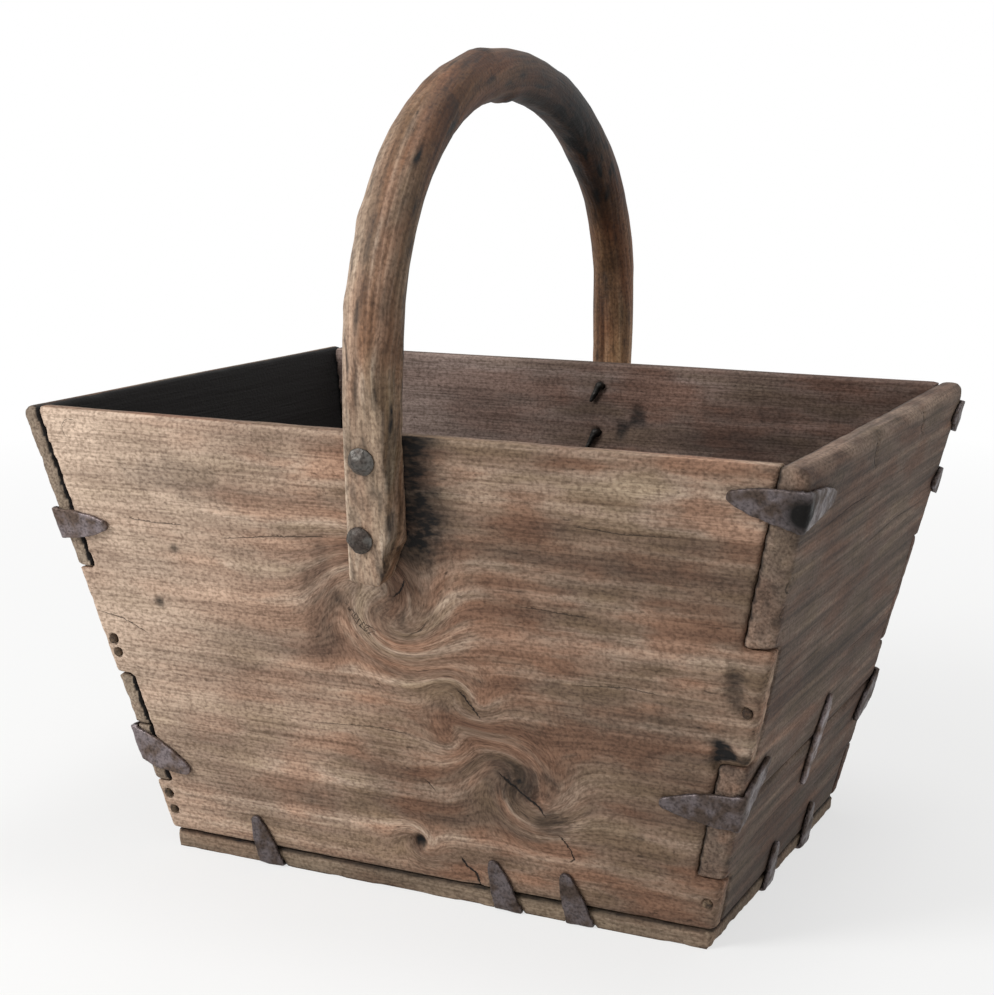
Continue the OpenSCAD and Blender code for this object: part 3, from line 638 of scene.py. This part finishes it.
# Forged staples
# Flat iron, hammered out thin into a leaf at each end, folded over a corner or a seam and
# driven in at its tips. Forge scale and rust keep it dark and pitted.
IRON_SKIN = 0.7
CORNER_STAPLES = [
    "front_left_upper", "front_left_lower", "front_right_upper", "front_right_lower",
    "back_right_upper", "back_right_middle", "back_right_lower", "back_left_upper", "back_left_lower",
]
SHADED_IRON = 0.42
# The upper staple at the front right is upset into a thick dark lump where it turns the corner.
UPSET_BEND = (221, -163, 243)
UPSET_REACH = 8
UPSET_RISE = 1.4


def forged_iron(name, scale_tone, rust_tone, metallic=0.75):
    """Hammered wrought iron under forge scale: a dark broken sheen with brown rust in its pits."""
    material = bpy.data.materials.new(name)
    material.use_nodes = True
    tree = material.node_tree
    shader = tree.nodes["Principled BSDF"]
    shader.inputs["Metallic"].default_value = metallic
    place = add_node(tree, "TexCoord").outputs["Object"]
    patches, pits = [
        add_node(tree, "TexNoise", {"Vector": place, "Scale": 1 / (size * MM), "Detail": detail}).outputs[0]
        for size, detail in ((9, 5), (1.6, 3))
    ]
    rust = add_node(tree, "ValToRGB", {0: patches}, [(0.42, scale_tone), (0.6, rust_tone)]).outputs[0]
    shade = add_node(tree, "ValToRGB", {0: pits}, [(0.34, "#4a4340"), (0.55, "#ffffff")]).outputs[0]
    tone = add_node(tree, "Mix", {0: 0.55, 6: rust, 7: shade}, data_type="RGBA", blend_type="MULTIPLY")
    # The darkening takes the iron towards near black, for grime and also for painted shade.
    marking = add_node(tree, "Attribute", attribute_name="soot_and_shade").outputs["Fac"]
    tone = add_node(tree, "Mix", {0: marking, 6: tone.outputs[2], 7: colour("#0e0c0b")}, data_type="RGBA")
    rough = add_node(
        tree, "MapRange",
        {"Value": patches, "From Min": 0.35, "From Max": 0.65, "To Min": 0.42, "To Max": 0.7},
    )
    relief = add_node(tree, "Math", {0: patches, 1: 1.5, 2: pits}, operation="MULTIPLY_ADD")
    bump = add_node(
        tree, "Bump", {"Height": relief.outputs[0], "Distance": 0.5 * MM, "Strength": 0.9}
    )
    tree.links.new(tone.outputs[2], shader.inputs["Base Color"])
    tree.links.new(rough.outputs[0], shader.inputs["Roughness"])
    tree.links.new(bump.outputs[0], shader.inputs["Normal"])
    return material


def hammer(iron, seed, depth=0.3):
    """Leaves broad hammer marks and small pits in a forged piece."""
    blows = waves(iron.points, (6, 6, 6), seed)
    pits = np.maximum(0, waves(iron.points, (2.2, 2.2, 2.2), seed + 1) - 0.2)
    iron.sink(depth * (blows + 0.1) + 0.35 * depth * pits)


staple_iron = forged_iron("scaled_staple_iron", "#857a7b", "#68584f")
for number, corner in enumerate(CORNER_STAPLES):
    staple = WornCopy(corner + "_staple", corner + "_staple_forged", IRON_SKIN)
    hammer(staple, 61 + number)
    if corner == "front_right_upper":
        bend = bell(np.linalg.norm(staple.points - np.array(UPSET_BEND), axis=1), UPSET_REACH)
        staple.sink(-UPSET_RISE * bend)
        staple.soot_and_shade += 0.9 * bend
    staple.soot_and_shade += SHADED_IRON * ("right" in corner)
    staple.finish(staple_iron)
for number, node in enumerate(("right_seam_staple", "left_seam_staple")):
    staple = WornCopy(node, node + "_forged", IRON_SKIN)
    hammer(staple, 81 + number)
    staple.finish(staple_iron)
for number, side in enumerate(("front", "back", "right", "left")):
    staples = WornCopy(side + "_base_staples", side + "_base_staples_forged", IRON_SKIN)
    hammer(staples, 91 + number)
    staples.soot_and_shade += SHADED_IRON
    staples.finish(staple_iron)

# Handle
# One bent branch, barked and rubbed smooth by hands, with its knots left on. Its feet are
# shaved flat with a drawknife to sit on the boards.
HANDLE_SKIN = 1.4
ARCH_CENTRE = (3.0, 280.0)
ARCH_RADIUS = 171.0
ARCH_LENGTH = math.pi * ARCH_RADIUS
HANDLE_X = -4.8
HANDLE_TURN = math.tan(math.radians(2.3))
FOOT_TOP = 273
FOOT_FADE = 20
WALL_LEAN = 0.196
GIRTH = 0.4
RUBBED_SPOT = (-17, 165, 348)
CHARRED_SHARE = 0.66
CHARRED_REACH = 75
# Knots are places, sizes and rises in mm.
KNOTS = [
    ((-17, -160, 372), 8, 1.8), ((-2, -45, 458), 9, 2.0), ((-4, -12, 432), 9, 2.6),
    ((-8, 72, 447), 8, 2.4), ((10, 172, 330), 7, 1.6), ((-14, -178, 330), 6, 1.2),
    ((8, 152, 372), 7, 1.2),
]
# Facets are headings in degrees from the front towards the right, and heights, half lengths
# and depths in mm.
FOOT_FACETS = [
    (62, 330, 34, 1.5), (82, 296, 32, 1.4), (48, 292, 28, 1.2), (30, 340, 30, 0.9),
    (64, 250, 26, 1.5), (86, 236, 30, 1.2), (50, 222, 20, 1.1), (74, 196, 18, 2.4),
]
FACET_HOLLOW = 2.5


def branch_wood():
    """A barked branch, rubbed by hands: golden at the front leg, grey-brown over the crown,
    nearly black where the inside was never rubbed, with long grain and dark flecks."""
    material = old_wood(
        "rubbed_branch_wood", "#e8d3bd", "#b4967a", "#75593f", X, fibre_mm=1.6, figure_mm=5,
        roughness=0.62, follow="branch_run",
    )
    tree = material.node_tree
    shader = tree.nodes["Principled BSDF"]
    under = shader.inputs["Base Color"].links[0].from_socket
    run = add_node(tree, "Attribute", attribute_name="branch_run").outputs["Vector"]
    reach = add_node(tree, "SeparateXYZ", {0: run}).outputs[0]
    share = add_node(
        tree, "MapRange", {"Value": reach, "From Min": -0.1, "From Max": ARCH_LENGTH * MM + 0.1}
    )
    tone = add_node(
        tree, "ValToRGB", {0: share.outputs[0]},
        [(0.22, "#ffffff"), (0.36, "#a8917f"), (0.5, "#867468"), (0.72, "#a08775"), (0.88, "#f4e0cc")],
    )
    mixed = add_node(
        tree, "Mix", {0: 1.0, 6: under, 7: tone.outputs[0]}, data_type="RGBA", blend_type="MULTIPLY"
    )
    tree.links.new(mixed.outputs[2], shader.inputs["Base Color"])
    return material


handle = WornCopy("handle", "handle_branch", HANDLE_SKIN, rounding=3)
points = handle.points
over = np.column_stack([points[:, Y] - ARCH_CENTRE[0], points[:, Z] - ARCH_CENTRE[1]])
turned = np.arctan2(over[:, 1], over[:, 0])
in_arch = over[:, 1] > 0
reach = np.where(
    in_arch, ARCH_RADIUS * (math.pi - turned),
    np.where(over[:, 0] < 0, over[:, 1], ARCH_LENGTH - over[:, 1]),
)
away = np.where(in_arch, np.hypot(over[:, 0], over[:, 1]), np.abs(over[:, 0])) - ARCH_RADIUS
aside = points[:, X] - HANDLE_X + HANDLE_TURN * points[:, Y]
run = np.column_stack([reach, away, aside])
handle.vectors["branch_run"] = run * MM
on_foot = bell(np.maximum(0, points[:, Z] - FOOT_TOP), FOOT_FADE)
lumps = waves(run, (48, 30, 30), 101)
ridges = waves(run, (60, 4.5, 4.5), 102)
marks = waves(run, (9, 22, 22), 103)
depth = (1 - on_foot) * (0.55 * lumps - GIRTH + 0.22 * ridges) + on_foot * (0.12 * ridges + 0.1 * marks)
for centre, size, rise in KNOTS:
    near = np.linalg.norm(points - np.array(centre, float), axis=1)
    depth -= rise * bell(near, size) - 0.9 * rise * bell(near, size * 0.35)
    handle.soot_and_shade += 0.7 * bell(near - size * 0.55, size * 0.25) + 0.5 * bell(near, size * 0.3)
handle.sink(depth)
front_leg = handle.points[:, Y] < -120
for heading, facet_height, half, cut in FOOT_FACETS:
    normal = np.array([math.sin(math.radians(heading)), -math.cos(math.radians(heading)), 0])
    above = handle.points[:, Z] - facet_height
    share = above / half
    out = handle.points @ normal
    middle = front_leg & (np.abs(share) < 0.2)
    lean = WALL_LEAN if facet_height < FOOT_TOP else (ARCH_CENTRE[1] - facet_height) / ARCH_RADIUS
    limit = out[middle].max() - cut + FACET_HOLLOW * cut * share ** 2 - normal[Y] * lean * above
    struck = front_leg & (np.abs(share) < 1)
    handle.points -= (struck * np.maximum(out - limit, 0))[:, None] * normal
handle.sink(0)
facing_right = handle.outward[:, X]
facing_in = -np.sign(points[:, Y]) * handle.outward[:, Y]
on_front = points[:, Y] < -100
blots = waves(run, (26, 9, 9), 105)
charred = bell(reach - CHARRED_SHARE * ARCH_LENGTH, CHARRED_REACH)
handle.soot_and_shade += charred * np.clip(0.75 + 0.4 * facing_right + 0.25 * blots, 0, 0.95)
handle.soot_and_shade += 0.4 * np.clip(blots - 0.2, 0, 1)
handle.soot_and_shade += 0.8 * np.clip(waves(run, (16, 3.2, 3.2), 106) - 0.3, 0, 1)
handle.soot_and_shade += 0.2 * np.clip(facing_in, 0, 1) * (1 - on_foot)
handle.soot_and_shade *= 1 - 0.8 * bell(np.linalg.norm(points - np.array(RUBBED_SPOT), axis=1), 10)
# Painted shade on the front leg's faces that turn right, away from the lamp, and painted light on those
# that turn left, towards it.
handle.soot_and_shade += 0.4 * np.clip(facing_right, 0, 1) * on_front
handle.dust_and_light += 0.9 * np.clip(-facing_right + 0.05, 0, 1) * on_front
handle.dust_and_light += 0.3 * on_foot * (handle.outward[:, Y] * np.sign(points[:, Y]) > 0.7)
handle.finish(branch_wood())

# Handle nails
# Forged nails with a faceted, hammered head, two through each foot, their points bent over
# inside the basket, where soot has blackened them.
NAIL_SKIN = 0.6
HEAD_FACETS = 7
HEAD_SLOPE = math.radians(42)
FACET_CUT = 0.9
BOARDS_INSIDE = 166
nail_iron = forged_iron("faceted_nail_iron", "#66635f", "#4f4742", metallic=0.85)
for number, spot in enumerate(("front_upper", "front_lower", "back_upper", "back_lower")):
    nail = WornCopy(spot + "_handle_nail", spot + "_handle_nail_forged", NAIL_SKIN)
    face = np.array(FRONT_FACE if spot.startswith("front") else BACK_FACE)
    sideways = np.array((1.0, 0, 0))
    upwards = np.cross(face, sideways)
    for cut in range(HEAD_FACETS):
        angle = 2 * math.pi * (cut + 0.3 * math.sin(5 * cut + number)) / HEAD_FACETS
        lean = HEAD_SLOPE + 0.12 * math.sin(3 * cut + 2 * number)
        around = math.cos(angle) * sideways + math.sin(angle) * upwards
        normal = math.cos(lean) * face + math.sin(lean) * around
        out = nail.points @ normal
        out -= out.max() - FACET_CUT
        nail.points -= np.maximum(out, 0)[:, None] * normal
    nail.sink(0)
    nail.soot_and_shade += 0.8 * (np.abs(nail.points[:, Y]) < BOARDS_INSIDE)
    hammer(nail, 111 + number, depth=0.16)
    nail.finish(nail_iron)
